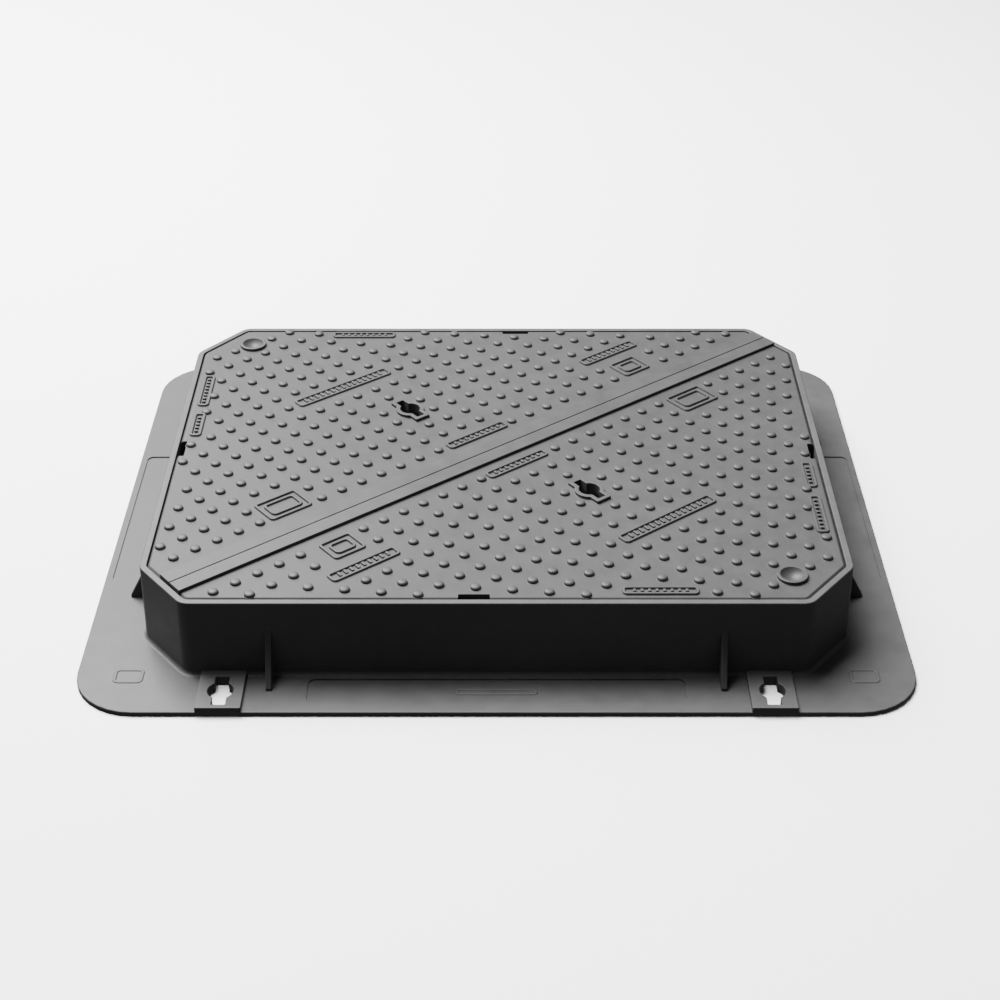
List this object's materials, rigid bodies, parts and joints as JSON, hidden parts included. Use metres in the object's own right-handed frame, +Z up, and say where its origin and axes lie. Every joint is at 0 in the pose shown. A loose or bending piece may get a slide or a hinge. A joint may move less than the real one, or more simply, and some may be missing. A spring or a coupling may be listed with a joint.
{
  "type": "manhole cover and frame",
  "caption": "Rectangular ductile iron manhole cover and flanged frame, with triangular studded leaves meeting on a diagonal, key slots, corner bowls and coupling bolts.",
  "frame": {"origin": "centre of the frame's underside, at the middle of the clear opening", "axes": "+X along the long side of the frame, +Y along the short side towards the rear leaf, +Z up"},
  "size_m": [0.91, 0.76, 0.104],
  "materials": {
    "frame_casting": "satin dark grey dip coating over a fine as-cast skin",
    "leaf_casting": "satin dark grey dip coating over a fine as-cast skin",
    "fasteners": "zinc plated, lightly dulled"
  },
  "bodies": {
    "frame": {"frame": "frame_casting"},
    "rear_leaf": {"rear_leaf": "leaf_casting", "coupling_bolt_left": "fasteners", "head_washer_left": "fasteners", "nut_washer_left": "fasteners", "coupling_nut_left": "fasteners", "coupling_bolt_right": "fasteners", "head_washer_right": "fasteners", "nut_washer_right": "fasteners", "coupling_nut_right": "fasteners"},
    "front_leaf": {"front_leaf": "leaf_casting"}
  },
  "joints": [
    {"name": "rear_leaf_lift", "type": "slide", "parent": "frame", "child": "rear_leaf", "axis": [0, 0, 1], "range_m": [0, 0.2]},
    {"name": "front_leaf_lift", "type": "slide", "parent": "frame", "child": "front_leaf", "axis": [0, 0, 1], "range_m": [0, 0.2]}
  ],
  "couplings": [
    {"joint": "front_leaf_lift", "follows": "rear_leaf_lift", "ratio": 1}
  ]
}
